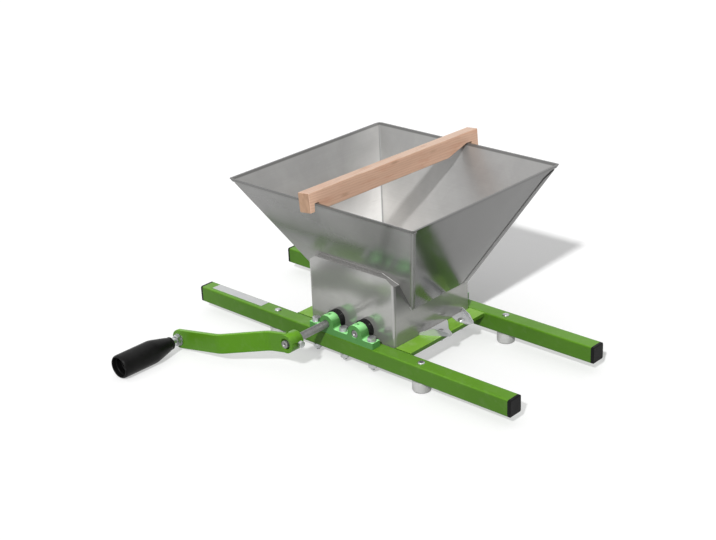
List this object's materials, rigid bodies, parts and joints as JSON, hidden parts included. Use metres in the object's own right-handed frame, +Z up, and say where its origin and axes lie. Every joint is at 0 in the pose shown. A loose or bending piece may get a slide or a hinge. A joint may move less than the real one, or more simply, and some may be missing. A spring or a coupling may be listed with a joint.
{
  "type": "apple scratter",
  "caption": "Hand-cranked apple scratter: a funnel hopper over toothed rollers on a frame of square rails, with a cranked handle and a pusher bar.",
  "frame": {"origin": "middle of the bounding box, on the surface that the feet stand on", "axes": "+X along the rails, -Y towards the crank grip, +Z up"},
  "size_m": [0.524, 0.4708, 0.2413],
  "materials": {
    "green_paint": "gloss",
    "block_paint": "satin",
    "sheet_steel": "satin",
    "zinc_steel": "bright",
    "bush_metal": "satin",
    "gear_metal": "satin",
    "roller_metal": "satin",
    "black_plastic": "satin",
    "grey_plastic": "matt",
    "white_label": "matt",
    "black_rubber": "matt",
    "bare_wood": "planed"
  },
  "bodies": {
    "frame": {"front_rail": "green_paint", "rear_rail": "green_paint", "rail_end_caps": "black_plastic", "left_crossbar": "green_paint", "right_crossbar": "green_paint", "feet": "grey_plastic", "foot_bolts": "zinc_steel", "foot_nuts": "zinc_steel", "blank_label": "white_label", "front_bearing_block": "block_paint", "rear_bearing_block": "block_paint", "shaft_bushes": "bush_metal", "bearing_bolts": "zinc_steel", "bearing_washers": "zinc_steel", "bearing_nuts": "zinc_steel", "shaft_seals": "black_rubber", "gear_cover": "sheet_steel", "gear_wall": "sheet_steel", "throat_left_wall": "sheet_steel", "throat_right_wall": "sheet_steel", "throat_rear_wall": "sheet_steel", "ear_bolts": "zinc_steel", "ear_nuts": "zinc_steel", "hopper_front_sheet": "sheet_steel", "hopper_rear_sheet": "sheet_steel"},
    "drive": {"drive_shaft": "zinc_steel", "drive_gear": "gear_metal", "drive_core": "roller_metal", "drive_discs": "roller_metal", "crank_hub": "green_paint", "crank_arm": "green_paint", "crank_set_screw": "zinc_steel", "grip_spindle": "zinc_steel", "spindle_nuts": "zinc_steel", "spindle_washers": "zinc_steel"},
    "driven": {"driven_shaft": "zinc_steel", "driven_gear": "gear_metal", "driven_core": "roller_metal", "driven_discs": "roller_metal"},
    "grip": {"grip": "black_plastic"},
    "pusher": {"pusher_bar": "bare_wood"}
  },
  "joints": [
    {"name": "crank_spin", "type": "hinge", "parent": "frame", "child": "drive", "pos_m": [-0.024, -0.03609, 0.0498], "axis": [0, 1, 0], "continuous": true},
    {"name": "driven_spin", "type": "hinge", "parent": "frame", "child": "driven", "pos_m": [0.024, -0.03609, 0.0498], "axis": [0, 1, 0], "continuous": true},
    {"name": "grip_spin", "type": "hinge", "parent": "drive", "child": "grip", "pos_m": [-0.19365, -0.14919, 0.0159], "axis": [0, 1, 0], "continuous": true},
    {"name": "pusher_lift", "type": "slide", "parent": "frame", "child": "pusher", "axis": [0, 0, 1], "range_m": [0, 0.06]}
  ],
  "couplings": [
    {"joint": "driven_spin", "follows": "crank_spin", "ratio": -1}
  ]
}
